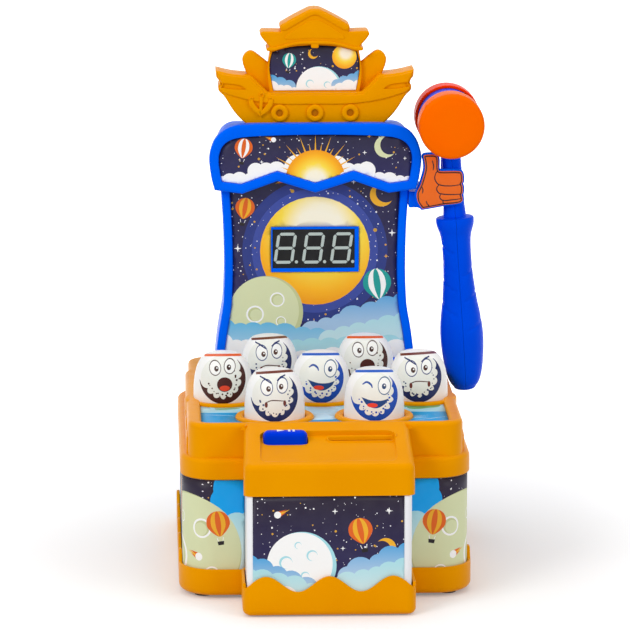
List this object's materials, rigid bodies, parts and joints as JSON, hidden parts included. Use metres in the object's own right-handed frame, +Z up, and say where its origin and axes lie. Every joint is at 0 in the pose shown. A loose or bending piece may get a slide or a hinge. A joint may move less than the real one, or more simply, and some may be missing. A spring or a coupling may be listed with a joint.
{
  "type": "electronic hammer game",
  "caption": "Table-top whack game: sprung domed heads in a tray, coin console with button, waisted score tower with display and marquee, boat on top, and a hammer clipped beside the tower.",
  "frame": {"origin": "centre of the footprint's bounding box, on the surface the toy stands on", "axes": "-Y towards the player in front of the toy, +X to the player's right, +Z up"},
  "size_m": [0.2074, 0.271, 0.3577],
  "materials": {
    "amber_abs": "satin moulded amber-yellow ABS",
    "white_abs": "smooth white ABS",
    "milky_polypropylene": "soft-gloss milky white polypropylene with printed line art",
    "frame_blue_abs": "gloss bright blue ABS",
    "handle_blue_abs": "satin deep blue ABS",
    "button_blue_abs": "gloss deep blue ABS",
    "orange_abs": "gloss orange ABS",
    "red_orange_abs": "gloss red-orange ABS",
    "hand_orange_abs": "matt orange-brown ABS with dark painted outlines",
    "printed_film": "printed self-adhesive film, satin",
    "black_abs": "matt black ABS",
    "rubber": "matt dark grey rubber",
    "steel": "zinc-plated steel",
    "circuit_board": "green glass-fibre circuit board",
    "battery_wrap": "printed plastic battery sleeve"
  },
  "bodies": {
    "base": {"bottom_tray": "amber_abs", "foot_front_left": "rubber", "foot_front_right": "rubber", "foot_back_left": "rubber", "foot_back_right": "rubber", "body_wall": "white_abs", "body_label": "printed_film", "tray_housing": "amber_abs", "tray_label": "printed_film", "switch_board": "circuit_board", "console_base": "amber_abs", "console_wall": "white_abs", "console_label": "printed_film", "console_hood": "amber_abs", "start_switch": "circuit_board", "coin_chute": "white_abs", "battery_box": "black_abs", "battery_1": "battery_wrap", "battery_2": "battery_wrap", "battery_3": "battery_wrap", "battery_door": "amber_abs", "battery_door_screw": "steel", "power_switch": "black_abs", "tower_front": "frame_blue_abs", "tower_rear": "frame_blue_abs", "rear_screw_left": "steel", "rear_screw_right": "steel", "tower_label": "printed_film", "speaker": "black_abs", "display_bezel": "frame_blue_abs", "display_module": "black_abs", "main_board": "circuit_board", "marquee_frame": "frame_blue_abs", "marquee_label": "printed_film", "boat_front": "amber_abs", "boat_rear": "amber_abs", "cabin_label": "printed_film", "hammer_holder": "frame_blue_abs", "hand_relief": "hand_orange_abs", "mole_spring_1": "steel", "mole_spring_2": "steel", "mole_spring_3": "steel", "mole_spring_4": "steel", "mole_spring_5": "steel", "mole_spring_6": "steel", "mole_spring_7": "steel"},
    "mole_1": {"mole_1": "milky_polypropylene"},
    "mole_2": {"mole_2": "milky_polypropylene"},
    "mole_3": {"mole_3": "milky_polypropylene"},
    "mole_4": {"mole_4": "milky_polypropylene"},
    "mole_5": {"mole_5": "milky_polypropylene"},
    "mole_6": {"mole_6": "milky_polypropylene"},
    "mole_7": {"mole_7": "milky_polypropylene"},
    "start_button": {"start_button": "button_blue_abs"},
    "power_switch_knob": {"power_switch_knob": "black_abs"},
    "hammer": {"hammer_left_half": "handle_blue_abs", "hammer_right_half": "handle_blue_abs", "hammer_front_cap": "orange_abs", "hammer_rear_cap": "red_orange_abs"}
  },
  "joints": [
    {"name": "mole_1_press", "type": "slide", "parent": "base", "child": "mole_1", "axis": [0, 0, -1], "range_m": [0, 0.008], "stiffness_N_per_m": 150, "springref_m": -0.004, "deforming": ["mole_spring_1"]},
    {"name": "mole_2_press", "type": "slide", "parent": "base", "child": "mole_2", "axis": [0, 0, -1], "range_m": [0, 0.008], "stiffness_N_per_m": 150, "springref_m": -0.004, "deforming": ["mole_spring_2"]},
    {"name": "mole_3_press", "type": "slide", "parent": "base", "child": "mole_3", "axis": [0, 0, -1], "range_m": [0, 0.008], "stiffness_N_per_m": 150, "springref_m": -0.004, "deforming": ["mole_spring_3"]},
    {"name": "mole_4_press", "type": "slide", "parent": "base", "child": "mole_4", "axis": [0, 0, -1], "range_m": [0, 0.008], "stiffness_N_per_m": 150, "springref_m": -0.004, "deforming": ["mole_spring_4"]},
    {"name": "mole_5_press", "type": "slide", "parent": "base", "child": "mole_5", "axis": [0, 0, -1], "range_m": [0, 0.008], "stiffness_N_per_m": 150, "springref_m": -0.004, "deforming": ["mole_spring_5"]},
    {"name": "mole_6_press", "type": "slide", "parent": "base", "child": "mole_6", "axis": [0, 0, -1], "range_m": [0, 0.008], "stiffness_N_per_m": 150, "springref_m": -0.004, "deforming": ["mole_spring_6"]},
    {"name": "mole_7_press", "type": "slide", "parent": "base", "child": "mole_7", "axis": [0, 0, -1], "range_m": [0, 0.008], "stiffness_N_per_m": 150, "springref_m": -0.004, "deforming": ["mole_spring_7"]},
    {"name": "start_button_press", "type": "slide", "parent": "base", "child": "start_button", "axis": [0, 0, -1], "range_m": [0, 0.0025], "stiffness_N_per_m": 300, "springref_m": -0.001},
    {"name": "power_switch_slide", "type": "slide", "parent": "base", "child": "power_switch_knob", "axis": [1, 0, 0], "range_m": [0, 0.004]},
    {"name": "hammer_pull", "type": "slide", "parent": "base", "child": "hammer", "axis": [1, 0, 0], "range_m": [0, 0.08]}
  ]
}
